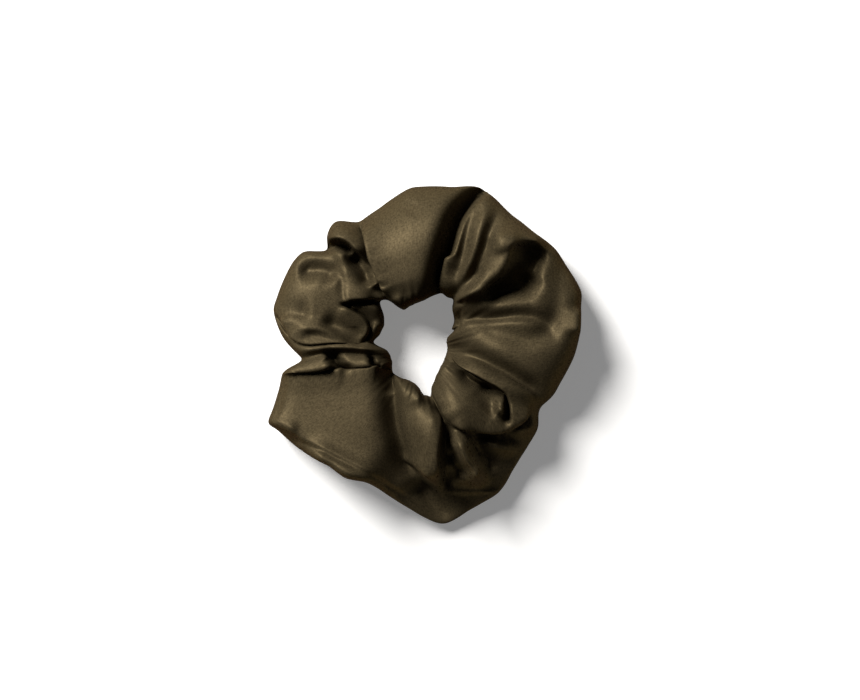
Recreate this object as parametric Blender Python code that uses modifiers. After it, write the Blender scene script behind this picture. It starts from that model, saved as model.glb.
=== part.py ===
"""A gathered satin scrunchie lying on a table: a sewn cloth tube on a loop of flat elastic.

The row frame is in metres, +Z up, with the origin under the middle of the scrunchie, on the table. The sizes
below are in millimetres. The tube runs round the hole, and each place on it is an angle about HOLE_CENTRE.
The cloth is cut in two where two deep gathers cross it, so that its right half can be pulled away from its left.
"""

import math

import bmesh
import bpy
from mathutils import Vector

MM = 0.001

# The plan of the tube: points on its outer and its inner edge, in order round the hole.
HOLE_CENTRE = (-2.0, 4.0)
OUTER_EDGE = [
    (53.7, 19.0), (50.0, 27.0), (45.5, 34.5), (38.5, 41.0), (30.0, 47.3), (20.0, 56.5), (12.0, 57.4),
    (2.0, 57.6), (-5.0, 57.0), (-15.0, 50.0), (-22.0, 45.2), (-28.5, 45.6), (-33.0, 41.0), (-32.0, 35.5),
    (-41.5, 35.3), (-47.5, 26.5), (-51.3, 15.5), (-49.0, 9.0), (-44.0, 2.0), (-40.5, -1.8), (-48.0, -6.0),
    (-51.0, -16.0), (-54.6, -23.5), (-46.0, -28.8), (-38.0, -34.5), (-28.0, -40.3), (-18.0, -43.3),
    (-8.0, -50.5), (2.0, -57.2), (6.5, -58.4), (14.0, -55.0), (26.0, -46.8), (34.0, -33.0), (39.0, -24.0),
    (39.0, -17.8), (45.0, -11.5), (51.0, 0.0), (53.0, 9.0),
]
INNER_EDGE = [
    (7.7, 3.5), (9.0, 8.0), (10.3, 12.5), (9.8, 16.5), (8.0, 19.5), (5.5, 20.5), (0.0, 17.6), (-6.8, 15.3),
    (-11.5, 18.0), (-15.0, 18.2), (-13.6, 12.5), (-14.0, 8.0), (-16.0, 4.5), (-11.5, 1.0), (-10.4, -3.0),
    (-9.5, -6.6), (-3.0, -10.2), (1.0, -14.5), (2.5, -11.0), (4.5, -5.5), (6.8, -1.0),
]

# The height of the tube's top above the table, at angles in degrees.
TOP_HEIGHT = [(0, 27), (45, 28), (90, 27), (125, 22), (160, 25), (185, 20), (215, 18), (255, 22), (300, 25)]
FLAT_SHARE = 0.45  # of the tube's width, which lies flat on the table

CLOTH = 0.6  # two plies of satin and the air between them, as one wall
SEAM_GAP = 1.2  # between the two seam allowances, where the seam's thread lies
SEAM_ALLOWANCE = 4.0
SEAM_HEIGHT_SHARE = 0.45  # of the tube's height
SEAM_END = 1.0  # degrees between the end of the seam's thread and the cut
TOP_CUT = 77.5  # degrees: the closing seam
BOTTOM_CUT = 280.5
TOP_CUT_GAP = 1.8  # holds the closing seam's thread
BOTTOM_CUT_GAP = 0.8
THREAD = 0.4  # diameter

ELASTIC_RADIUS = 24.0
ELASTIC_WIDTH = 6.0
ELASTIC_THICKNESS = 0.9
ELASTIC_MID_HEIGHT = 7.0
ELASTIC_LAP_START = 195.0  # degrees
ELASTIC_LAP = 26.0
ELASTIC_LAP_CLEARANCE = 0.3
BINDING_TURNS = 5
BINDING_CLEARANCE = 0.35

DEGREES_PER_STRIP = 6.0
SECTION_STEPS = 24

SATIN = ((0.105, 0.075, 0.036), 0.38, 0.0)
SATIN_THREAD = ((0.085, 0.062, 0.030), 0.60, 0.0)
ELASTIC = ((0.055, 0.050, 0.045), 0.75, 0.0)
ELASTIC_THREAD = ((0.30, 0.28, 0.25), 0.65, 0.0)


def clear_scene():
    for obj in list(bpy.data.objects):
        bpy.data.objects.remove(obj, do_unlink=True)


def material(name, colour, roughness, metallic):
    made = bpy.data.materials.new(name)
    made.use_nodes = True
    shader = made.node_tree.nodes["Principled BSDF"]
    shader.inputs["Base Color"].default_value = (*colour, 1.0)
    shader.inputs["Roughness"].default_value = roughness
    shader.inputs["Metallic"].default_value = metallic
    return made


def round_table(points):
    """The (angle in degrees, value) pairs in order, with the ends repeated past a full turn."""
    ordered = sorted(points)
    first, last = ordered[0], ordered[-1]
    return [(last[0] - 360, last[1]), *ordered, (first[0] + 360, first[1])]


def polar(points):
    """Plan points as a table of angle and distance about the hole's centre."""
    table = []
    for x, y in points:
        dx = x - HOLE_CENTRE[0]
        dy = y - HOLE_CENTRE[1]
        table.append((math.degrees(math.atan2(dy, dx)) % 360, math.hypot(dx, dy)))
    return round_table(table)


def look_up(table, angle):
    angle = angle % 360
    for (a, low), (b, high) in zip(table, table[1:]):
        if a <= angle <= b:
            return low + (high - low) * (angle - a) / max(b - a, 1e-9)
    return table[-1][1]


OUTER = polar(OUTER_EDGE)
INNER = polar(INNER_EDGE)
HEIGHT = round_table(TOP_HEIGHT)


def tube(angle):
    """The tube's middle radius, half width and height at an angle."""
    outer = look_up(OUTER, angle)
    inner = look_up(INNER, angle)
    return (outer + inner) / 2, (outer - inner) / 2, look_up(HEIGHT, angle)


def place(angle, radius, height):
    """A point of the row frame, from a place about the hole in millimetres."""
    turn = math.radians(angle)
    x = HOLE_CENTRE[0] + radius * math.cos(turn)
    y = HOLE_CENTRE[1] + radius * math.sin(turn)
    return Vector((x, y, height)) * MM


def section_point(angle, turn, inset=0.0):
    """A point on the tube's skin: turn 0 is its outer side, 90 its top and 180 its inner side, in degrees."""
    middle, half, height = tube(angle)
    half -= inset
    dip = math.sqrt(1 - FLAT_SHARE**2)  # where the round section is cut off by the table
    rise = (height - 2 * inset) / (1 + dip)
    side = math.cos(math.radians(turn))
    up = max(math.sin(math.radians(turn)), -dip)
    return middle + half * side, inset + rise * (up + dip)


def seam_turn(angle, height):
    """The turn, near the outer side, at which the skin is at that height."""
    _, _, top = tube(angle)
    dip = math.sqrt(1 - FLAT_SHARE**2)
    return math.degrees(math.asin(height / top * (1 + dip) - dip))


def seam_height(angle):
    return SEAM_HEIGHT_SHARE * tube(angle)[2]


def wall_point(angle, step):
    """A point across the cloth: from the tip of the upper seam allowance, round the tube, to the tip of the lower."""
    upper = seam_height(angle) + SEAM_GAP / 2
    lower = seam_height(angle) - SEAM_GAP / 2
    start = seam_turn(angle, upper)
    end = seam_turn(angle, lower) + 360
    if step == 0:
        return section_point(angle, start)[0] - SEAM_ALLOWANCE, upper
    if step == SECTION_STEPS:
        return section_point(angle, end)[0] - SEAM_ALLOWANCE, lower
    turn = start + (end - start) * (step - 1) / (SECTION_STEPS - 2)
    return section_point(angle, turn)


def surface(name, columns, rows, point, look):
    """An object whose grid of columns by rows is laid out by point(column, row)."""
    mesh = bmesh.new()
    bmesh.ops.create_grid(mesh, x_segments=columns, y_segments=rows, size=0.5)
    for vertex in mesh.verts:
        column = round((vertex.co.x + 0.5) * columns)
        row = round((vertex.co.y + 0.5) * rows)
        vertex.co = point(column, row)
    data = bpy.data.meshes.new(name)
    mesh.to_mesh(data)
    mesh.free()
    data.shade_smooth()
    obj = bpy.data.objects.new(name, data)
    data.materials.append(look)
    return obj


def thicken(obj, thickness, offset):
    solid = obj.modifiers.new("thickness", "SOLIDIFY")
    solid.thickness = thickness * MM
    solid.offset = offset


def cover_half(name, start, end, start_gap, end_gap, look):
    """The cloth between two cuts, a tube that is open at both ends and along its seam."""
    columns = round((end - start) / DEGREES_PER_STRIP)

    def point(column, row):
        angle = start + (end - start) * column / columns
        radius, height = wall_point(angle, row)
        if column == 0:
            angle += math.degrees(start_gap / 2 / radius)
        elif column == columns:
            angle -= math.degrees(end_gap / 2 / radius)
        return place(angle, radius, height)

    obj = surface(name, columns, SECTION_STEPS, point, look)
    thicken(obj, CLOTH, -1.0)
    return obj


def thread(name, points, look, closed=False):
    """A thread through the points."""
    curve = bpy.data.curves.new(name, "CURVE")
    curve.dimensions = "3D"
    curve.bevel_depth = THREAD / 2 * MM
    curve.bevel_resolution = 1
    curve.use_fill_caps = not closed
    line = curve.splines.new("POLY")
    line.points.add(len(points) - 1)
    for knot, at in zip(line.points, points):
        knot.co = (*at, 1.0)
    line.use_cyclic_u = closed
    curve.materials.append(look)
    return bpy.data.objects.new(name, curve)


def long_seam(name, start, end, look):
    """The thread that holds the two seam allowances together, a little way in from the outer edge."""
    steps = round((end - start) / DEGREES_PER_STRIP)
    points = []
    for step in range(steps + 1):
        angle = start + SEAM_END + (end - start - 2 * SEAM_END) * step / steps
        radius = section_point(angle, seam_turn(angle, seam_height(angle)))[0] - SEAM_ALLOWANCE / 2
        points.append(place(angle, radius, seam_height(angle)))
    return thread(name, points, look)


def closing_seam(name, look):
    """The thread round the tube where its two ends meet, in the middle of their cloth."""
    steps = 20
    points = []
    for step in range(steps + 1):
        turn = 12 + (330 - 12) * step / steps
        points.append(place(TOP_CUT, *section_point(TOP_CUT, turn, CLOTH / 2)))
    return thread(name, points, look)


def lap_radius(share):
    """The elastic's radius along its length: it moves outwards before its end, to lie on its own beginning."""
    step_out = ELASTIC_THICKNESS + ELASTIC_LAP_CLEARANCE
    full_turn = 360 / (360 + ELASTIC_LAP)
    ramp = min(max((share - 0.85) / (full_turn - 0.85 - 0.02), 0.0), 1.0)
    return ELASTIC_RADIUS + step_out * ramp * ramp * (3 - 2 * ramp)


def elastic_band(look):
    columns = 72

    def point(column, row):
        share = column / columns
        angle = ELASTIC_LAP_START + (360 + ELASTIC_LAP) * share
        height = ELASTIC_MID_HEIGHT + ELASTIC_WIDTH * (row / 2 - 0.5)
        return place(angle, lap_radius(share), height)

    obj = surface("elastic_band", columns, 2, point, look)
    thicken(obj, ELASTIC_THICKNESS, 0.0)
    return obj


def elastic_join(look):
    """The thread that is wound over the lap of the elastic's two ends."""
    reach = BINDING_CLEARANCE + THREAD / 2
    inside = ELASTIC_RADIUS - ELASTIC_THICKNESS / 2 - reach
    outside = ELASTIC_RADIUS + ELASTIC_THICKNESS * 1.5 + ELASTIC_LAP_CLEARANCE + reach
    low = ELASTIC_MID_HEIGHT - ELASTIC_WIDTH / 2 - reach
    high = ELASTIC_MID_HEIGHT + ELASTIC_WIDTH / 2 + reach
    corners = [(inside, low), (inside, high), (outside, high), (outside, low)]
    first = ELASTIC_LAP_START + ELASTIC_LAP * 0.2
    pitch = ELASTIC_LAP * 0.6 / (4 * BINDING_TURNS)
    points = []
    for step in range(4 * BINDING_TURNS + 1):
        radius, height = corners[step % 4]
        points.append(place(first + pitch * step, radius, height))
    return thread("elastic_join_thread", points, look)


def main():
    clear_scene()
    satin = material("satin", *SATIN)
    satin_thread = material("satin_thread", *SATIN_THREAD)
    elastic = material("elastic", *ELASTIC)
    elastic_thread = material("elastic_thread", *ELASTIC_THREAD)

    left = (TOP_CUT, BOTTOM_CUT)
    right = (BOTTOM_CUT, TOP_CUT + 360)
    made = [
        cover_half("cover_left_half", *left, TOP_CUT_GAP, BOTTOM_CUT_GAP, satin),
        cover_half("cover_right_half", *right, BOTTOM_CUT_GAP, TOP_CUT_GAP, satin),
        long_seam("long_seam_thread_left", *left, satin_thread),
        long_seam("long_seam_thread_right", *right, satin_thread),
        closing_seam("closing_seam_thread", satin_thread),
        elastic_band(elastic),
        elastic_join(elastic_thread),
    ]
    group = bpy.data.collections.new("scrunchie")
    bpy.context.scene.collection.children.link(group)
    for obj in made:
        group.objects.link(obj)


main()
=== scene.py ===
"""The looks of a gathered satin scrunchie: one fine sheet of satin, sculpted fold by fold, on its elastic.

Places in the tables below are in millimetres in the row frame: x to the right, y to the back, z up from
the table. The satin is a closed grid. Its columns run round the hole and its rows run round the tube. It
starts as a smooth tube between two outlines, and each fold then lifts, sinks or turns over the cloth along
a line in plan.
"""

import math

import bpy
import numpy as np
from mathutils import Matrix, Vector


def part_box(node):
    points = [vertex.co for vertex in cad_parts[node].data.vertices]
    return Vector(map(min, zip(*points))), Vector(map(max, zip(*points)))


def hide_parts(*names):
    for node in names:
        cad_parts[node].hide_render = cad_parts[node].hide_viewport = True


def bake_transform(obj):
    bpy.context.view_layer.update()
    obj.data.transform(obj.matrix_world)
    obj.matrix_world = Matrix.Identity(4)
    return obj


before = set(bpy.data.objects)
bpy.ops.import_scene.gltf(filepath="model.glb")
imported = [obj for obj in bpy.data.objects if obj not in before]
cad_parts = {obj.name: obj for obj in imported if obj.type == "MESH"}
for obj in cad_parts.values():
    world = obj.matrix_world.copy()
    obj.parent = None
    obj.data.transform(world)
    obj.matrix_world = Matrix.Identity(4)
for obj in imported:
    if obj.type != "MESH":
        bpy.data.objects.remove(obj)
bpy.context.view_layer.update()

MM = 0.001
CENTRE = np.array((-1.0, 1.4))  # of the hole: the grid's columns are angles about it
COLUMNS = 640
TOP_ROWS = 150  # from the outer edge over the top to the inner edge
UNDER_ROWS = 50
ROW_CROWDING = 0.8  # below 1, the rows lie closer together at the tube's edges
OUTER_SOFTENING = 2  # columns
INNER_SOFTENING = 3
TABLE_SOFTENING = 12

EDGE_HEIGHT = 9.0  # of the tube's widest line above the table
LOWEST_TOP = 10.0  # that a gather sinks to, over the elastic
HIGHEST_TOP = 31.0  # that a fold stands to
LOWEST_SOFTNESS = 0.6
HIGHEST_SOFTNESS = 1.6
RISE_POWER = 0.9  # below 1, the section is a little fuller
UNDER_SQUARE = 2.5  # the section below the widest line; 2 is an ellipse
UNDER_REACH = 1.15  # over 1, the table flattens the lowest part
EDGE_INSET = 2.5  # from the edge, where the wall under it reads its folds
EDGE_SHARE = 0.35  # of a fold's height, that the widest line follows
EDGE_SINK = (-14.0, 8.0)  # the deepest valley and the highest ridge that it follows
WALL_SHARE = 0.75  # of a fold's height, that the wall under it moves out or in
WALL_SINK = (-5.0, 1.5)  # the deepest valley and the highest ridge that the wall follows
FOLD_POWER = 1.9  # of a soft fold's profile; 2 is a bell curve
FOLD_FADE = 0.26  # of a soft fold's length, at each end
LAP_FADE = 0.16  # the same of a lap's or a crease's
WEAKEST_END = 0.1  # of a fold's height, left at its very end
WEAKEST_CREASE_END = 0.3
LIP = 0.9  # half the width of a lap's drop
PLEAT_COUNTS = (37, 61)  # round the hole: two sets of fine gathers, one laid over the other
PLEAT_HEIGHT = 0.22
PLEAT_REACH = 0.12  # of the tube's width
RELAX_ROUNDS = 3

SATIN_THICKNESS = 0.25
SEAM_ROW = TOP_ROWS + UNDER_ROWS - 5  # the long seam, a little under the tube's outer edge
SEAM_DRAW = 0.45  # that its stitches draw the cloth in
SEAM_DEPTH = 0.75  # of the seams' threads inside the cloth
CLOSING_SEAM_TURN = 77.5  # degrees
CLOSING_SEAM_ROWS = slice(6, -12)  # it stops short of the long seam
THREAD_SIDES = 6
THREAD_DIAMETER = 0.35
JOIN_THREAD_DIAMETER = 0.3

ELASTIC_THICKNESS = 0.9
ELASTIC_STEP_OUT = 1.2  # of one lapped end over the other
ELASTIC_LAP_START = 195.0  # degrees
ELASTIC_LAP = 26.0
ELASTIC_RIBS = 6
RIB_DEPTH = 0.22  # of the elastic's half thickness
CRIMPS = 170  # round the elastic, where its braid is crimped
CRIMP = 0.05
ELASTIC_STEPS = 300  # sections along the loop
JOIN_TURNS = 7
JOIN_STEPS = 24  # places in one turn of its stitches
JOIN_START = 0.2  # of the lap, where its stitches start
JOIN_RUN = 0.6  # of the lap, that they cover
JOIN_STAND = 0.3  # of its stitches off the elastic's faces
JOIN_INSET = 0.2

# ------------------------------------------------------------------------------------ the tube's shape

OUTER_EDGE = [
    (0, 57.3), (10, 57), (15, 57.5), (18.5, 57.5), (20, 56.8), (22, 55), (25, 52.5), (27, 50.2),
    (30, 47.3), (33, 45.2), (36, 42.6), (38.2, 40.8), (42.5, 38), (45, 35.7), (47, 32.5), (49, 29.3),
    (51.5, 25.5), (53, 22.7), (53.7, 21), (53.4, 18), (53.1, 14), (52.7, 6), (52, 3), (51.2, 0),
    (50, -2.7), (48, -6.5), (46, -10), (44.5, -13), (43, -14.8), (39.6, -17.6), (38.8, -20), (39, -24),
    (38.6, -25.5), (36, -30), (33, -34.8), (30, -39.7), (27.5, -44.5), (25, -47.5), (20, -50.4),
    (15, -53.3), (12, -55.5), (8, -57.7), (6.5, -57.9), (4.5, -57.6), (0, -55.4), (-5, -52.3),
    (-10, -49.2), (-15, -45.7), (-18, -43.8), (-20, -42.8), (-24, -42.1), (-26.5, -41.5), (-28.5, -40),
    (-31.5, -37.5), (-35, -35.8), (-40, -33.3), (-45, -29.8), (-50, -25), (-53.7, -23.3), (-52, -20.5),
    (-50.5, -16), (-49, -11), (-48, -5.7), (-46, -4.2), (-43, -3), (-40.3, -2), (-42.5, 0), (-46.5, 4),
    (-48, 6), (-50, 10.5), (-50.8, 13), (-51.3, 15.8), (-50, 19.5), (-47.5, 26), (-44.5, 31.8),
    (-41.5, 35), (-40, 35.6), (-37.5, 35.2), (-32.4, 35.3), (-33, 38), (-33.2, 40.3), (-32.3, 42.5),
    (-31.3, 44.5), (-29.5, 45.8), (-25.5, 45.3), (-22, 45), (-15, 50), (-10, 53.7), (-4.5, 57),
]
INNER_EDGE = [
    (-7, 15.3), (0, 18.4), (5, 20.8), (6.3, 21.3), (6.8, 20.3), (8.2, 19.3), (10.3, 19.2), (10.3, 18.6),
    (9.3, 16), (10, 13.5), (10.3, 11.3), (12.3, 9.5), (10.5, 8.8), (8.8, 8), (7.9, 6.5), (7.6, 4.5),
    (7.9, 2), (7, -1), (5.5, -4), (4, -7), (2.3, -11), (1.7, -13.5), (2.3, -16.5), (0, -14),
    (-1.5, -11.3), (-3, -9.8), (-5, -8.8), (-7.5, -7.8), (-10.6, -6), (-10.7, -2.5), (-11.4, 0),
    (-12.5, 1.7), (-14, 2.4), (-17.5, 4.2), (-15, 6.7), (-13.4, 10), (-13.4, 13), (-14.2, 16),
    (-15.7, 18), (-14.5, 18.7), (-12, 18.8), (-10, 17),
]

# The height of the tube's crest at angles in degrees about CENTRE.
CREST = [(0, 25), (30, 25), (60, 25.5), (78, 27), (95, 26.5), (110, 24.5), (122, 21), (140, 22),
         (165, 23), (182, 22), (190, 20.5), (205, 22.5), (225, 24), (240, 24.5), (255, 23), (270, 24),
         (290, 28.5), (305, 29), (320, 24.5), (345, 24)]

# Where the crest lies across the tube at those angles: -1 is the inner edge and 1 the outer.
CREST_SIDE = [(8, 0.3), (30, 0.1), (60, 0), (90, -0.4), (112, -0.45), (130, 0), (165, 0), (200, 0.1),
              (238, 0.2), (252, -0.4), (270, -0.45), (305, -0.45), (322, -0.2), (335, -0.1)]

# How square the tube is there: 2 is an ellipse.
SQUARE = [(8, 3.2), (30, 2.5), (75, 2.5), (92, 3.2), (112, 3.6), (125, 3.4), (160, 2.6), (172, 4.0),
          (178, 7.0), (190, 7.0), (205, 4.5), (215, 6.0), (243, 7.0), (254, 1.8), (270, 1.5), (305, 1.4),
          (318, 1.8), (330, 2.5)]

# ------------------------------------------------------------------------------------------- the folds
# soft fold: (ridge or valley, points, half width, height). The cloth rises or sinks along the line. A pair
# of half widths is the one on the line's left and the one on its right.
RIDGE = 1
VALLEY = -1
SOFT_FOLDS = [
    # the smooth panel at the back and the deep gather on its right
    (VALLEY, [(30.4, 61), (23.8, 57), (18.2, 53.6), (14.4, 49.5), (11.8, 45), (10.2, 40), (8.8, 35),
              (7.5, 30), (6.7, 26), (6.0, 21), (5, 15)], (1.0, 4.0), 14.0),
    (RIDGE, [(-13, 19.2), (-10, 17), (-7, 15.2), (-3, 16.8), (2, 19.2)], 3.0, 4.0),
    (VALLEY, [(-3, 52), (-6, 47)], 3.0, 0.6),
    (VALLEY, [(-13.5, 25), (-11, 22.7)], 0.8, 0.9),
    # the folds of the right upper puff, fanning from the inner edge
    (VALLEY, [(8.4, 20), (10.4, 26), (11.9, 30), (13, 34), (13.8, 38), (14.8, 43), (16.4, 48), (19, 55)],
     (3.2, 2.4), 5.6),
    (RIDGE, [(9.4, 21.5), (12.4, 26), (15.2, 31), (17.6, 37), (19.8, 44), (22.5, 51)], 2.2, 1.8),
    (VALLEY, [(5, 18.6), (9.6, 20.4), (12.6, 22.2), (16.4, 26.6), (19.2, 32.4), (21.6, 38.6),
              (23.4, 44.6), (25, 51)], (3.4, 1.8), 3.8),
    (VALLEY, [(8, 19), (13, 21.6), (17.2, 25), (20.4, 30)], (2.6, 1.2), 3.0),
    (RIDGE, [(6, 17.6), (12, 19.8), (18, 21.6), (23.4, 25.6), (26.8, 31), (28.4, 36.5), (30, 43)],
     (4.2, 2.4), 6.0),
    (VALLEY, [(19, 19.8), (24, 21.2), (29, 22.2), (35, 23.6), (38.5, 27)], (4.2, 3.0), 7.4),
    (VALLEY, [(35.6, 22.6), (36.4, 27), (38, 31), (41, 35.4)], (7.0, 2.0), 5.4),
    (RIDGE, [(22, 34), (28, 36.8), (33, 38), (37.5, 38), (42, 35.6)], (6.0, 1.4), 6.4),
    (VALLEY, [(4, 11.8), (10, 12.2), (16, 12.2), (24, 12.4), (31, 13), (36.5, 12.4), (40.5, 10.4),
              (43, 7)], (2.8, 1.4), 3.4),
    (VALLEY, [(45.6, 36), (45.4, 28), (44.8, 22), (44, 16), (43, 8), (41, 0)], (3.4, 4.4), 1.8),
    (VALLEY, [(14, 11), (20, 9.4), (27, 7.2), (33, 5.6), (38.5, 6.6), (43, 11), (46.6, 17.5)], (4.0, 3.2),
     2.0),
    (RIDGE, [(54, 16.5), (53.6, 11), (52.8, 5.5)], 3.8, 7.0),
    (VALLEY, [(8.6, 17.2), (14, 17.6)], 0.8, 2.0),
    (VALLEY, [(9.4, 12.0), (13, 11.8)], 2.0, 3.6),
    # the right lower side
    (VALLEY, [(4.4, -5), (3, -10), (3, -13), (4.8, -17), (7.6, -22)], (2.2, 2.4), 5.6),
    (VALLEY, [(-2, 4.4), (5, 2.8), (12, 0.4), (18.4, -1.4), (25.6, -5), (32, -8.6), (37, -12),
              (39.5, -16), (40, -21)], (3.2, 1.5), 6.0),
    (VALLEY, [(10, -4.4), (13, -6), (16, -8.6), (20.4, -10.8), (25, -12.4), (29, -15)], (1.0, 2.0), 6.4),
    (VALLEY, [(20, -8.6), (22.6, -13), (23.2, -17.5), (21.4, -21)], (1.0, 4.6), 3.8),
    (RIDGE, [(27, -11.5), (26.4, -16), (25.6, -20.5)], (1.0, 3.0), 3.6),
    (VALLEY, [(28.2, -13), (28.9, -17.4), (28.4, -21)], 0.9, 3.4),
    # the fan of pleats below it
    (VALLEY, [(9, -24.6), (16, -26.2), (22, -27.2), (28, -28), (34, -29.5)], (1.6, 2.6), 3.2),
    (RIDGE, [(15, -28), (21, -29.4), (26, -31.2), (33, -33)], 1.6, 1.6),
    (VALLEY, [(15, -31), (20, -33.2), (26, -35.5), (31, -38)], 2.4, 2.0),
    (RIDGE, [(30, -24.5), (35, -25), (39, -23)], 1.6, 1.4),
    (RIDGE, [(10.6, -24.5), (12.4, -31), (14.4, -35), (17, -38.4), (17.8, -41.5), (15, -44)], (2.8, 2.6),
     8.5),
    (RIDGE, [(20, -36), (18, -40.4), (13.6, -42), (8, -42)], (1.6, 2.4), 2.8),
    (VALLEY, [(15.5, -26), (18.4, -31), (21, -36), (22, -42)], (3.6, 2.2), 5.4),
    (VALLEY, [(8.6, -31), (10.6, -35), (12.4, -38), (14.4, -40.6)], 1.8, 4.4),
    (VALLEY, [(7.0, -18), (7.8, -25), (7.6, -30), (7.4, -35), (7.8, -40), (8.6, -47)], (3.0, 1.4), 5.0),
    (VALLEY, [(-9, -65), (3, -60.6), (14, -56), (21, -51.8), (27, -47), (32, -40), (37.5, -31),
              (44, -21)], (9.0, 3.0), 6.4),
    # the smooth panel at the lower left
    (VALLEY, [(-12.2, -1), (-11.2, -6.5), (-10, -13), (-9.4, -20), (-8.2, -26), (-6.8, -31), (-5, -35.5),
              (-2.2, -40), (1.8, -46), (6, -52), (10, -58)], (1.6, 4.4), 7.0),
    (RIDGE, [(-7, -4), (-1.5, -10), (1.2, -14), (2.4, -20), (2.8, -28), (3, -36), (4, -48)], (1.6, 6.5),
     6.6),
    (VALLEY, [(-46.4, -8), (-47.3, -13), (-49.3, -20), (-51.3, -23.5)], 1.0, 0.9),
    (VALLEY, [(-49, -26.3), (-45.5, -28), (-41, -30.2)], 1.6, 2.6),
    (RIDGE, [(-42, -33), (-36, -36), (-30, -39), (-25, -41), (-19, -42.4), (-13, -46)], (5.0, 5.0), 8.0),
    (RIDGE, [(-9, -4), (-4, -8.4), (-1, -12), (1.5, -17)], (1.2, 4.0), 3.4),
    (VALLEY, [(-13, -4), (-11, -8.5), (-9.4, -13)], (1.4, 3.2), 2.6),
    (VALLEY, [(4, -38), (7, -46), (10, -54), (13, -62)], (9.0, 15.0), 7.0),
    (RIDGE, [(-56, -21), (-48, -23.4), (-41, -25)], 2.5, 2.2),
    # the rolls between the lower left panel and the left puff
    (RIDGE, [(-50, -6.6), (-44, -6.6), (-38, -6.2), (-33, -5.2), (-27, -4.6)], (4.0, 0.8), 5.8),
    (RIDGE, [(-31, -4.2), (-25, -4.4), (-20, -4.4), (-14, -4.8), (-8, -5)], (3.4, 0.8), 3.6),
    (VALLEY, [(-46, -2.6), (-38, -0.6), (-33, 0.6), (-29, 0.8), (-22, 0.4), (-15, -0.2), (-11, -0.8)],
     0.9, 1.2),
    (RIDGE, [(-46, 1.4), (-38, 2.0), (-33, 2.6), (-27, 2.8), (-22, 2.6), (-17, 2.0), (-12, 1.0)],
     (2.6, 1.3), 2.6),
    (VALLEY, [(-31.4, 1.6), (-29.6, -1.8), (-27.4, -4.2), (-23, -5.6)], 1.7, 5.6),
    (VALLEY, [(-18.6, 0.6), (-17.6, -2.4), (-16, -4.4), (-14, -6)], 1.0, 3.0),
    # the left puff
    (RIDGE, [(-44, 8.6), (-39, 8.6), (-34, 8.2), (-28, 6.9), (-23, 6)], (2.0, 1.6), 1.8),
    (VALLEY, [(-41.5, 6.2), (-39, 6.9), (-35, 7.0), (-30, 6.4), (-25, 5.6)], (1.4, 0.8), 1.6),
    (VALLEY, [(-52, 15.4), (-46, 14.6), (-42, 13.8), (-37, 13.4)], (4.2, 1.6), 2.6),
    (VALLEY, [(-43, 27.4), (-38, 28.4), (-34, 28.4), (-31, 27), (-28.4, 24.6)], (3.8, 3.0), 5.0),
    (VALLEY, [(-29, 29), (-27.6, 26), (-27.2, 21), (-27.2, 17)], (0.9, 1.2), 1.2),
    (VALLEY, [(-40, 30), (-37.5, 28), (-37, 26)], 1.6, 0.5),
    (VALLEY, [(-35, 11.6), (-31, 9.6), (-27, 7.6), (-23, 5.4), (-19, 3.4)], (3.8, 1.2), 4.0),
    (VALLEY, [(-50.4, 14.6), (-48.4, 11.4), (-46, 8.8), (-43, 7)], (2.4, 1.0), 3.0),
    (VALLEY, [(-24, 17), (-20, 14.4), (-17.6, 12), (-16, 9)], 2.6, 2.6),
    # between the left puff and the panel at the back
    (VALLEY, [(-25.2, 34.5), (-22.2, 30.8), (-19.4, 26.8), (-17.8, 22.6)], (2.8, 2.4), 7.5),
    (RIDGE, [(-18, 28.4), (-16.4, 25), (-15, 22.4)], 1.8, 3.4),
    (VALLEY, [(-27, 34.2), (-24, 33), (-20.5, 31.0)], 1.6, 2.0),
    (VALLEY, [(-35, 36.2), (-32, 36.2), (-29.4, 36.6), (-26.6, 36), (-23.6, 34)], (1.8, 1.1), 9.0),
    (RIDGE, [(-34, 38.8), (-29, 39.0), (-25.5, 37.8), (-22, 35.2), (-18.4, 31.4)], (4.6, 0.9), 3.6),
]
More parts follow.
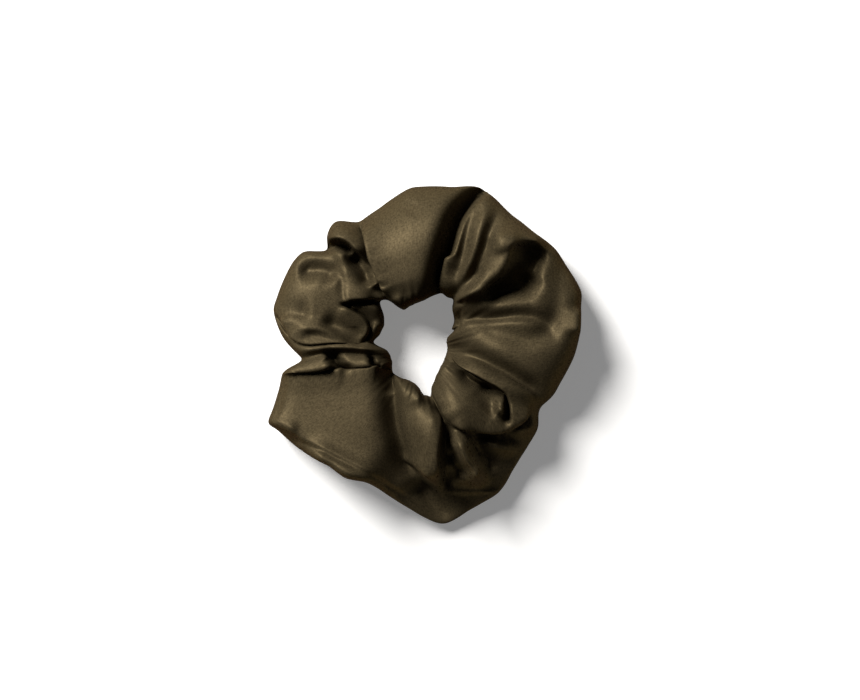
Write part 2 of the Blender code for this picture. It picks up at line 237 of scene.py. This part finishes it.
# lap: (high side, points, step, reach of the lift, groove, turn over). The cloth on the line's high side
# lies over the cloth on its other side.
LEFT = 1
RIGHT = -1
LAPS = [
    (LEFT, [(-21.6, 45.6), (-19.2, 41.5), (-17.9, 36.5), (-17, 33), (-15.7, 29.8), (-14.6, 26.8),
            (-13.5, 25), (-12.7, 22.3), (-11.5, 18.4)], 2.6, 6.0, 4.0, 2.6),
    (RIGHT, [(6.2, 20.6), (6.8, 25), (7.5, 28), (8.2, 31), (9, 34)], 0.8, 4.0, 2.0, 2.4),
    (LEFT, [(8.3, 1.4), (10.8, -1.6), (13.8, -3.7), (17.6, -5.8), (21.6, -8), (25.6, -10.2),
            (28.2, -12.6), (29.5, -16), (29.8, -19), (29, -21.2), (26.7, -22.4), (25, -21.5)], 2.0, 5.0,
     5.0, 1.7),
    (LEFT, [(9.9, -1.6), (6.2, -5), (4.1, -8.5), (3.3, -12), (5, -16), (7, -20), (8.5, -23)], 1.4, 4.0,
     2.0, 1.2),
    (LEFT, [(8.5, -22.6), (13, -23.8), (18, -24.6), (23, -25), (27, -24.8), (31, -23), (34, -20),
            (36, -17)], 1.4, 4.5, 3.0, 2.2),
    (RIGHT, [(-49, -6), (-44, -7), (-40, -7.2), (-35, -7), (-30, -6.6), (-25, -6.1), (-20, -5.8),
             (-15, -5.7), (-11, -6), (-8, -7.5)], 1.4, 4.0, 2.8, 2.2),
    (LEFT, [(3.0, -17), (4.6, -19.5), (5.3, -22), (5, -27), (4.5, -32), (4.3, -36), (5, -40),
            (6.5, -44)][::-1], 1.8, 3.6, 3.0, 1.2),
    (LEFT, [(-55, -23.0), (-50, -24.8), (-46, -25.8), (-43, -27), (-41, -28.5), (-34, -31), (-30, -33),
            (-26, -35), (-20, -38), (-15, -41), (-11, -44), (-8, -46), (-4, -49.5), (0, -53), (4, -57)],
     0.5, 2.0, 0.7, 0.0),
    (LEFT, [(-8, -34.5), (-6, -35.5), (-3, -37), (0, -39.5), (3, -42.5), (6, -45.5)], 1.2, 3.0, 1.0, 1.0),
    (RIGHT, [(-33.4, 0.6), (-32.3, -2), (-30.5, -4), (-28, -5.5), (-26, -6.2)], 1.4, 2.4, 3.0, 0.9),
    (RIGHT, [(-18.6, -0.6), (-18.2, -2.6), (-17, -4.4), (-14.6, -5.6)], 1.2, 2.2, 3.2, 0.8),
    (LEFT, [(-52, 15.5), (-49.5, 14), (-47.5, 12), (-46, 9.5), (-44, 6.5), (-41.5, 5), (-38, 4.4),
            (-34, 4.7), (-30, 5.1), (-25, 5), (-21, 4.7), (-16.5, 4.2)], 0.8, 4.5, 2.0, 1.6),
    (LEFT, [(-28, 16.7), (-25.5, 18.3), (-22, 19), (-17, 19.2), (-12, 19.5)], 1.4, 2.6, 5.0, 1.2),
    (RIGHT, [(-28, 16.8), (-26, 15.2), (-24, 14), (-21, 12.3), (-19.3, 10.5), (-19, 8.5), (-20, 6.6),
             (-22, 5.8)], 1.2, 2.2, 3.4, 1.0),
    (LEFT, [(-34, 39.4), (-29, 39.3), (-25.5, 38), (-22, 35), (-18.5, 31.5), (-16.8, 30)], 1.2, 2.4, 2.4,
     0.9),
]
# crease: a narrow soft fold
CREASES = [
    (VALLEY, [(-33.6, 40.4), (-31.5, 42.6), (-29, 43.9), (-26, 44.5), (-22, 44.5)], 0.32, 0.6),
    (VALLEY, [(50.3, 28), (51.5, 23.8), (52.5, 20), (52.5, 13), (52, 8)], 0.32, 0.6),
    (RIDGE, [(9, -46.3), (15, -46.5), (27, -46.3)], 0.6, 1.0),
]

# --------------------------------------------------------------------------------------------- helpers


def smoothstep(low, high, x):
    t = np.clip((x - low) / (high - low), 0.0, 1.0)
    return t * t * (3.0 - 2.0 * t)


def by_angle(table, angles):
    """A value at each angle in radians, from a table of degrees and values, softened."""
    turn, value = np.array(table, float).T
    return soften_round(np.interp(np.degrees(angles), turn, value, period=360), TABLE_SOFTENING)


def around(points, angles):
    """The distances from CENTRE, at the angles in radians, of a closed outline through the points."""
    offsets = np.array(points, float) - CENTRE
    turn = np.arctan2(offsets[:, 1], offsets[:, 0]) % (2 * math.pi)
    order = np.argsort(turn)
    distance = np.hypot(offsets[:, 0], offsets[:, 1])
    return np.interp(angles, turn[order], distance[order], period=2 * math.pi)


def soften_round(values, reach):
    """The values of a closed ring, smoothed over about reach of its columns."""
    steps = np.arange(-3 * reach, 3 * reach + 1)
    weights = np.exp(-0.5 * (steps / reach) ** 2)
    weights /= weights.sum()
    return sum(w * np.roll(values, s, axis=0) for w, s in zip(weights, steps))


def smooth_line(points, spacing=0.6):
    """Closely spaced places along a smooth curve through the points."""
    knots = np.array(points, float)
    padded = np.vstack([2 * knots[0] - knots[1], knots, 2 * knots[-1] - knots[-2]])
    line = []
    for a, b, c, d in zip(padded, padded[1:], padded[2:], padded[3:]):
        count = max(2, int(np.hypot(*(c - b)) / spacing))
        for t in np.arange(count) / count:
            line.append(0.5 * (2 * b + (c - a) * t + (2 * a - 5 * b + 4 * c - d) * t**2
                               + (3 * b - a - 3 * c + d) * t**3))
    line.append(knots[-1])
    return np.array(line)


def follow(plan, points, reach):
    """How the grid's places within reach of a line lie to it.

    Gives which places they are, their distances to its left, how far along it they are from 0 to 1, the
    line's left normals there, and how far beyond its ends they are.
    """
    line = smooth_line(points)
    low = line.min(axis=0) - reach
    high = line.max(axis=0) + reach
    near = np.flatnonzero(((plan >= low) & (plan <= high)).all(axis=1))
    places = plan[near]
    gaps = np.full(len(near), np.inf)
    closest = np.zeros(len(near), int)
    for i, knot in enumerate(line):
        gap = (places[:, 0] - knot[0]) ** 2 + (places[:, 1] - knot[1]) ** 2
        better = gap < gaps
        gaps[better] = gap[better]
        closest[better] = i
    tangent = np.gradient(line, axis=0)
    step = np.linalg.norm(tangent, axis=1)
    tangent /= step[:, None]
    left = np.stack([-tangent[:, 1], tangent[:, 0]], axis=1)[closest]
    offset = places - line[closest]
    side = (offset * left).sum(axis=1)
    onward = (offset * tangent[closest]).sum(axis=1)
    last = len(line) - 1
    before = np.where(closest == 0, np.maximum(-onward, 0), 0.0)
    after = np.where(closest == last, np.maximum(onward, 0), 0.0)
    along = np.clip((closest + onward / step[closest]) / last, 0, 1)
    keep = gaps < reach**2
    return near[keep], side[keep], along[keep], left[keep], (before + after)[keep]


def fade_ends(along, share, floor):
    """1 in a line's middle, falling to floor over a share of its length at each end."""
    return floor + (1 - floor) * smoothstep(0, share, along) * smoothstep(0, share, 1 - along)


def softplus(x, reach):
    """x where it is well above 0, and near 0 where it is below, with a smooth change over reach."""
    return reach * np.logaddexp(0.0, x / reach)


# ------------------------------------------------------------------------------------ the satin's grid


def satin_grid():
    """The sculpted cloth: its places as a COLUMNS by rows by 3 array in millimetres."""
    angles = 2 * math.pi * np.arange(COLUMNS) / COLUMNS
    direction = np.stack([np.cos(angles), np.sin(angles)], axis=1)
    outer = soften_round(around(OUTER_EDGE, angles), OUTER_SOFTENING)
    inner = soften_round(around(INNER_EDGE, angles), INNER_SOFTENING)
    side, top = rows_across()
    lift, height = smooth_tube(angles, side, top)
    middle = (outer + inner) / 2
    half = (outer - inner) / 2
    radius = middle[:, None] + half[:, None] * side

    # a fold on the wall under the widest line is the one above it, just inside the edge
    inset = np.clip(radius, (inner + EDGE_INSET)[:, None], (outer - EDGE_INSET)[:, None])
    seen = np.where(top, radius, inset)
    plan = CENTRE + seen[..., None] * direction[:, None, :]
    sink, shift = folds(plan.reshape(-1, 2))
    sink = sink.reshape(radius.shape) + pleats(angles, seen, inner, outer)
    shift = shift.reshape(*radius.shape, 2)

    # how much of the folds the top takes, and how much of them the wall under the widest line takes
    upper = smoothstep(0.0, 0.55, lift)
    lower = smoothstep(0.0, 0.5, -lift) * (1 - 0.85 * smoothstep(0.75, 1.0, -lift))
    wall_sink = WALL_SHARE * np.clip(sink, *WALL_SINK)
    radius = radius + np.where(top, 0.0, np.sign(side) * lower * wall_sink)
    place = CENTRE + radius[..., None] * direction[:, None, :] + shift * upper[..., None]
    height = folded_height(height, sink, upper, side, top)
    return draw_in_seam(relax(np.dstack([place[..., 0], place[..., 1], height])))


def rows_across():
    """Where each row lies across the tube, 1 at the outer edge and -1 at the inner, and if it is on top."""
    over = np.linspace(0, math.pi, TOP_ROWS, endpoint=False)
    under = np.linspace(math.pi, 2 * math.pi, UNDER_ROWS, endpoint=False)
    turn = np.concatenate([over, under])
    side = np.sign(np.cos(turn)) * np.abs(np.cos(turn)) ** ROW_CROWDING
    return side[None, :], np.sin(turn)[None, :] >= 0


def smooth_tube(angles, side, top):
    """The tube without folds: its lift, 0 at the widest line and 1 at the crest, and its height."""
    crest = by_angle(CREST, angles)[:, None]
    crest_side = by_angle(CREST_SIDE, angles)[:, None]
    leaning = side - crest_side * (1 - side**2) * top
    square = np.where(top, by_angle(SQUARE, angles)[:, None], UNDER_SQUARE)
    rise = np.sqrt(np.maximum(1 - np.abs(leaning) ** square, 0.0)) ** RISE_POWER
    lift = np.where(top, rise, -rise)
    above = EDGE_HEIGHT + (crest - EDGE_HEIGHT) * lift
    below = np.maximum(EDGE_HEIGHT * (1 + UNDER_REACH * lift), 0.0)
    return lift, np.where(top, above, below)


def folds(plan):
    """How far the folds lift the cloth at places in plan, and how far the laps push it over."""
    sink = np.zeros(len(plan))
    shift = np.zeros((len(plan), 2))
    for fold in SOFT_FOLDS:
        add_soft_fold(sink, plan, *fold)
    for lap in LAPS:
        add_lap(sink, shift, plan, *lap)
    for crease in CREASES:
        add_crease(sink, plan, *crease)
    return sink, shift


def add_soft_fold(sink, plan, sign, points, widths, size):
    """Adds a ridge or a valley along a line, strongest on it and fading to its sides and ends."""
    left_width, right_width = np.broadcast_to(widths, 2)
    which, gap, along, _, beyond = follow(plan, points, 2.6 * max(left_width, right_width))
    width = np.where(gap > 0, left_width, right_width)
    profile = np.exp(-(np.abs(gap) / width) ** FOLD_POWER)
    ends = fade_ends(along, FOLD_FADE, WEAKEST_END) * np.exp(-(beyond / width.max()) ** 2)
    sink[which] += sign * size * profile * ends


def add_lap(sink, shift, plan, high, points, step, reach, groove, turn_over):
    """Adds a step along a line, with a groove at its foot and its lip pushed out over the low side."""
    which, gap, along, left, beyond = follow(plan, points, 2.6 * reach)
    gap = gap * high
    above = step * np.exp(-(np.maximum(gap - LIP, 0) / reach) ** 1.4)
    below = -groove * np.exp(-(np.maximum(-gap - LIP, 0) / (0.45 * reach)) ** 1.2)
    profile = below + (above - below) * smoothstep(-LIP, LIP, gap)
    strength = fade_ends(along, LAP_FADE, WEAKEST_END) * np.exp(-(beyond / LIP) ** 2)
    sink[which] += strength * profile
    push = turn_over * np.exp(-((gap - LIP) / (1.5 * LIP)) ** 2) * strength
    shift[which] -= high * left * push[:, None]


def add_crease(sink, plan, sign, points, width, size):
    """Adds a narrow ridge or valley along a line."""
    which, gap, along, _, _ = follow(plan, points, 4 * width)
    profile = np.exp(-(gap / width) ** 2)
    sink[which] += sign * size * profile * fade_ends(along, LAP_FADE, WEAKEST_CREASE_END)


def folded_height(height, sink, upper, side, top):
    """The tube's height with its folds, above the elastic on top and above the table below."""
    edge_sink = EDGE_SHARE * np.clip(sink, *EDGE_SINK)
    on_top = (1 - EDGE_SHARE) * upper * sink + edge_sink
    height = height + np.where(top, on_top, edge_sink * height / EDGE_HEIGHT)
    # the lowest that it sinks to falls towards the edges, most of all at the outer one
    lowest = LOWEST_TOP * (0.5 + 0.5 * upper) * (1 - 0.4 * smoothstep(0.0, 0.7, side))
    height = np.where(top, lowest + softplus(height - lowest, LOWEST_SOFTNESS), np.maximum(height, 0.0))
    return HIGHEST_TOP - softplus(HIGHEST_TOP - height, HIGHEST_SOFTNESS)


def draw_in_seam(grid):
    """The grid with the cloth along the long seam drawn in by its stitches."""
    rows = np.arange(grid.shape[1])
    seam = np.exp(-(((rows - SEAM_ROW) / 0.9) ** 2))[None, :]
    return grid - (grid - inside(grid, SEAM_DRAW) / MM) * seam[..., None]


def pleats(angles, radius, inner, outer):
    """Small gathers that fan out from the inner edge, deepest there."""
    from_inner = np.clip((radius - inner[:, None]) / (outer - inner)[:, None], 0, 1)
    turns = angles[:, None]
    drift = 0.25 * np.sin(3 * turns + 5 * from_inner) + 0.12 * np.sin(7 * turns - 3 * from_inner)
    broad, narrow = PLEAT_COUNTS
    fine = np.sin(broad * (turns + 0.06 * drift)) + 0.6 * np.sin(narrow * (turns - 0.05 * drift) + 1.3)
    return PLEAT_HEIGHT * fine * np.exp(-from_inner / PLEAT_REACH)


def relax(grid):
    """The grid with each place drawn half way to the middle of its four neighbours, RELAX_ROUNDS times."""
    for _ in range(RELAX_ROUNDS):
        near = (np.roll(grid, 1, 0) + np.roll(grid, -1, 0) + np.roll(grid, 1, 1) + np.roll(grid, -1, 1)) / 4
        grid = 0.5 * grid + 0.5 * near
    return grid


def grid_object(name, grid):
    """A mesh object from a closed grid in millimetres, with the cloth's own directions as its UV."""
    columns, rows, _ = grid.shape
    number = np.arange(columns * rows).reshape(columns, rows)
    right = np.roll(number, -1, 0)
    faces = np.stack([number, right, np.roll(right, -1, 1), np.roll(number, -1, 1)], axis=-1)
    mesh = bpy.data.meshes.new(name)
    mesh.from_pydata((grid.reshape(-1, 3) * MM).tolist(), [], faces.reshape(-1, 4).tolist())
    layer = mesh.uv_layers.new(name="cloth")
    u = np.arange(columns) / columns
    v = np.arange(rows) / rows
    corner_u = np.stack([u, u + 1 / columns, u + 1 / columns, u], axis=-1)[:, None, :].repeat(rows, 1)
    corner_v = np.stack([v, v, v + 1 / rows, v + 1 / rows], axis=-1)[None, :, :].repeat(columns, 0)
    corners = np.stack([corner_u, corner_v], axis=-1).reshape(-1)
    layer.data.foreach_set("uv", corners.astype(np.float32))
    mesh.shade_smooth()
    obj = bpy.data.objects.new(name, mesh)
    bpy.context.scene.collection.objects.link(obj)
    return obj


# ------------------------------------------------------------------------------------------- materials


class Look:
    """A node material under construction."""

    def __init__(self, name, colour, roughness, **sockets):
        self.material = bpy.data.materials.new(name)
        self.material.use_nodes = True
        self.nodes = self.material.node_tree.nodes
        self.shader = self.nodes["Principled BSDF"]
        self.shader.inputs["Base Color"].default_value = (*colour, 1)
        self.shader.inputs["Roughness"].default_value = roughness
        for socket, value in sockets.items():
            self.shader.inputs[socket.replace("_", " ")].default_value = value

    def add(self, kind, **settings):
        node = self.nodes.new(kind)
        for key, value in settings.items():
            if key in node.inputs:
                node.inputs[key].default_value = value
            else:
                setattr(node, key, value)
        return node

    def link(self, a, b):
        self.material.node_tree.links.new(a, b)

    def stretched(self, scale):
        """The cloth's own coordinates, scaled."""
        where = self.add("ShaderNodeTexCoord")
        mapping = self.add("ShaderNodeMapping")
        mapping.inputs["Scale"].default_value = scale
        self.link(where.outputs["UV"], mapping.inputs["Vector"])
        return mapping.outputs["Vector"]


def satin_look():
    look = Look("satin", (0.05, 0.036, 0.015), 0.58, Metallic=0.5, Specular_IOR_Level=0.0,
                Specular_Tint=(0.30, 0.22, 0.11, 1), Anisotropic=0.3)
    # the warp's fine ribs lie round the tube, and the weft's slubs along it
    warp = look.add("ShaderNodeTexNoise", Scale=1.0, Detail=2.0, Roughness=0.7)
    look.link(look.stretched((640.0, 60.0, 1.0)), warp.inputs["Vector"])
    weft = look.add("ShaderNodeTexNoise", Scale=1.0, Detail=2.0, Roughness=0.7)
    look.link(look.stretched((240.0, 210.0, 1.0)), weft.inputs["Vector"])
    mix = look.add("ShaderNodeMix", data_type="FLOAT")
    mix.inputs[0].default_value = 0.5
    look.link(warp.outputs["Fac"], mix.inputs[2])
    look.link(weft.outputs["Fac"], mix.inputs[3])
    ramp = look.add("ShaderNodeValToRGB")
    ramp.color_ramp.elements[0].position = 0.36
    ramp.color_ramp.elements[0].color = (0.036, 0.0280, 0.0154, 1)
    ramp.color_ramp.elements[1].position = 0.66
    ramp.color_ramp.elements[1].color = (0.087, 0.0672, 0.0368, 1)
    look.link(mix.outputs[0], ramp.inputs["Fac"])
    look.link(ramp.outputs["Color"], look.shader.inputs["Base Color"])
    bump = look.add("ShaderNodeBump", Strength=0.25, Distance=0.00012)
    look.link(mix.outputs[0], bump.inputs["Height"])
    look.link(bump.outputs["Normal"], look.shader.inputs["Normal"])
    return look.material


def plain_look(name, colour, roughness):
    look = Look(name, colour, roughness)
    noise = look.add("ShaderNodeTexNoise", Scale=2200.0, Detail=2.0)
    bump = look.add("ShaderNodeBump", Strength=0.3, Distance=0.0001)
    look.link(noise.outputs["Fac"], bump.inputs["Height"])
    look.link(bump.outputs["Normal"], look.shader.inputs["Normal"])
    return look.material


# ------------------------------------------------------------------------------------------ the pieces


def stretch_with_both(obj):
    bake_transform(obj)


def satin_cover(grid):
    obj = grid_object("satin_cover", grid)
    obj.data.materials.append(satin_look())
    solid = obj.modifiers.new("cloth", "SOLIDIFY")
    solid.thickness = SATIN_THICKNESS * MM
    solid.offset = -1.0
    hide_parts("cover_left_half", "cover_right_half")
    stretch_with_both(obj)
    return obj


def swept(name, rings, closed, look):
    """A mesh object through rings of places in metres, closed on itself or capped at its ends."""
    rings = np.array(rings)
    count, around_ring, _ = rings.shape
    number = np.arange(count * around_ring).reshape(count, around_ring)
    steps = count if closed else count - 1
    faces = []
    for i in range(steps):
        here, there = number[i], number[(i + 1) % count]
        faces += [(here[j], here[j - 1], there[j - 1], there[j]) for j in range(around_ring)]
    if not closed:
        faces += [tuple(number[0]), tuple(number[-1][::-1])]
    mesh = bpy.data.meshes.new(name)
    mesh.from_pydata(rings.reshape(-1, 3).tolist(), [], [tuple(map(int, f)) for f in faces])
    mesh.validate()
    mesh.shade_smooth()
    mesh.materials.append(look)
    obj = bpy.data.objects.new(name, mesh)
    bpy.context.scene.collection.objects.link(obj)
    return obj


def thread(name, path, look, closed=False, diameter=THREAD_DIAMETER):
    """A round thread along a path in metres."""
    path = np.array(path)
    if closed:
        tangent = np.roll(path, -1, 0) - np.roll(path, 1, 0)
    else:
        tangent = np.gradient(path, axis=0)
    tangent /= np.linalg.norm(tangent, axis=1)[:, None]
    slant = (0.13, 0.21, 0.97)  # no thread runs this way
    across = np.cross(tangent, slant)
    across /= np.linalg.norm(across, axis=1)[:, None]
    other = np.cross(tangent, across)
    turn = 2 * math.pi * np.arange(THREAD_SIDES) / THREAD_SIDES
    reach = diameter / 2 * MM
    spokes = np.cos(turn)[None, :, None] * across[:, None] + np.sin(turn)[None, :, None] * other[:, None]
    return swept(name, path[:, None] + reach * spokes, closed, look)


def inside(grid, depth):
    """The grid's places, moved into the tube by depth, in metres."""
    along = np.roll(grid, -1, 0) - np.roll(grid, 1, 0)
    across = np.roll(grid, -1, 1) - np.roll(grid, 1, 1)
    normal = np.cross(along, across)
    normal /= np.linalg.norm(normal, axis=2)[:, :, None]
    return (grid - normal * depth) * MM


def stitched(path, stitch=2.4, wave=0.14):
    """A path that dips in and out of the cloth once a stitch, as a lockstitch does."""
    run = np.concatenate([[0], np.cumsum(np.linalg.norm(np.diff(path, axis=0), axis=1))]) / MM
    path = path.copy()
    path[:, 2] += wave * MM * np.sin(2 * math.pi * run / stitch)
    return path


def long_seam(grid, look):
    path = inside(grid, SEAM_DEPTH)[:, SEAM_ROW]
    obj = thread("long_seam_thread", stitched(path), look, closed=True)
    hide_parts("long_seam_thread_left", "long_seam_thread_right")
    stretch_with_both(obj)


def closing_seam(grid, look):
    column = round(CLOSING_SEAM_TURN / 360 * COLUMNS)
    path = inside(grid, SEAM_DEPTH)[column, CLOSING_SEAM_ROWS]
    obj = thread("closing_seam_stitches", stitched(path), look)
    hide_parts("closing_seam_thread")
    stretch_with_both(obj)


def elastic_loop(look):
    """Flat braided elastic with ribs along it, its two ends lapped."""
    low, high = (np.array(corner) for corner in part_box("elastic_band"))
    centre = (low + high) / 2
    width = high[2] - low[2]
    step_out = ELASTIC_STEP_OUT * MM
    radius = (high[1] - low[1]) / 2 - ELASTIC_THICKNESS * MM / 2
    half = ELASTIC_THICKNESS * MM / 2
    ribs = np.linspace(-0.5, 0.5, 4 * ELASTIC_RIBS + 1)
    bulge = half * (1 - RIB_DEPTH + RIB_DEPTH * np.abs(np.sin(math.pi * ELASTIC_RIBS * (ribs + 0.5))))
    outer_face = [(b, r * width) for r, b in zip(ribs, bulge)]
    inner_face = [(-b, r * width) for r, b in zip(ribs, bulge)]
    section = outer_face + inner_face[::-1]
    rings = []
    for i in range(ELASTIC_STEPS + 1):
        share = i / ELASTIC_STEPS
        turn = math.radians(ELASTIC_LAP_START + (360 + ELASTIC_LAP) * share)
        ramp = smoothstep(0.85, 360 / (360 + ELASTIC_LAP) - 0.02, share)
        crimp = CRIMP * MM * math.sin(CRIMPS * turn) * (1 - ramp)
        ring = []
        for outwards, up in section:
            reach = radius + step_out * ramp + outwards + crimp
            ring.append(on_the_loop(centre, reach, turn, up))
        rings.append(ring)
    obj = swept("elastic_loop", rings, False, look)
    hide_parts("elastic_band")
    stretch_with_both(obj)


def on_the_loop(centre, reach, turn, up):
    """The place at a turn round the centre, reach away from it and up above it."""
    return (centre[0] + reach * math.cos(turn), centre[1] + reach * math.sin(turn), centre[2] + up)


def elastic_join(look):
    """The zigzag stitches that hold the elastic's lapped ends, wound over its edges."""
    low, high = (np.array(corner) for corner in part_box("elastic_band"))
    join_low, join_high = (np.array(corner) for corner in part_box("elastic_join_thread"))
    centre = (low + high) / 2
    radius = (high[1] - low[1]) / 2 - ELASTIC_THICKNESS * MM / 2
    middle = radius + ELASTIC_STEP_OUT / 2 * MM
    deep = (ELASTIC_THICKNESS + ELASTIC_STEP_OUT) / 2 * MM + JOIN_STAND * MM
    tall = (join_high[2] - join_low[2]) / 2 - JOIN_INSET * MM
    points = []
    count = JOIN_TURNS * JOIN_STEPS
    for i in range(count + 1):
        wind = 2 * math.pi * i / JOIN_STEPS
        turn = math.radians(ELASTIC_LAP_START + ELASTIC_LAP * (JOIN_START + JOIN_RUN * i / count))
        side = np.sign(math.cos(wind)) * abs(math.cos(wind)) ** 0.5
        up = np.sign(math.sin(wind)) * abs(math.sin(wind)) ** 0.5
        reach = middle + deep * side
        points.append(on_the_loop(centre, reach, turn, tall * up))
    obj = thread("elastic_join_stitches", points, look, diameter=JOIN_THREAD_DIAMETER)
    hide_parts("elastic_join_thread")
    stretch_with_both(obj)


# ------------------------------------------------------------------------------------------ the studio


def studio():
    scene = bpy.context.scene
    scene.view_settings.view_transform = "Standard"
    camera = bpy.data.objects.new("camera", bpy.data.cameras.new("camera"))
    lens = 85
    sensor = 36
    aim = (0.00204, 0.0017)  # near the scrunchie's middle
    width_in_view = 0.2924  # metres across the picture, at the height of the scrunchie's edge
    camera.data.lens = lens
    camera.data.sensor_width = sensor
    camera.location = (*aim, EDGE_HEIGHT * MM + width_in_view * lens / sensor)
    scene.collection.objects.link(camera)
    scene.camera = camera

    floor_mesh = bpy.data.meshes.new("floor")
    floor_mesh.from_pydata([(-3, -3, 0), (3, -3, 0), (3, 3, 0), (-3, 3, 0)], [], [(0, 1, 2, 3)])
    floor = bpy.data.objects.new("floor", floor_mesh)
    floor.location.z = -0.0003  # clear of the cloth's underside
    scene.collection.objects.link(floor)
    pale = Look("floor", (0.86, 0.86, 0.86), 0.7, Emission_Color=(1, 1, 1, 1), Emission_Strength=0.22)
    floor_mesh.materials.append(pale.material)

    lamp("key", place=(-0.60, 0.64, 0.76), size=0.55, power=30.0, colour=(1.0, 0.98, 0.95))

    world = bpy.data.worlds.new("world")
    world.use_nodes = True
    world.node_tree.nodes["Background"].inputs["Color"].default_value = (0.95, 0.97, 1.0, 1)
    world.node_tree.nodes["Background"].inputs["Strength"].default_value = 0.03
    scene.world = world


def lamp(name, place, size, power, colour):
    """A round lamp that faces the scrunchie."""
    data = bpy.data.lights.new(name, "AREA")
    data.shape = "DISK"
    data.size = size
    data.energy = power
    data.color = colour
    obj = bpy.data.objects.new(name, data)
    obj.location = place
    obj.rotation_euler = (Vector((0, 0, 0.01)) - Vector(place)).to_track_quat("-Z", "Y").to_euler()
    bpy.context.scene.collection.objects.link(obj)


cloth = satin_grid()
satin_cover(cloth)
sewing = plain_look("satin_thread", (0.055, 0.040, 0.018), 0.6)
long_seam(cloth, sewing)
closing_seam(cloth, sewing)
elastic_loop(plain_look("elastic", (0.02, 0.019, 0.018), 0.75))
elastic_join(plain_look("elastic_thread", (0.30, 0.28, 0.25), 0.65))
studio()
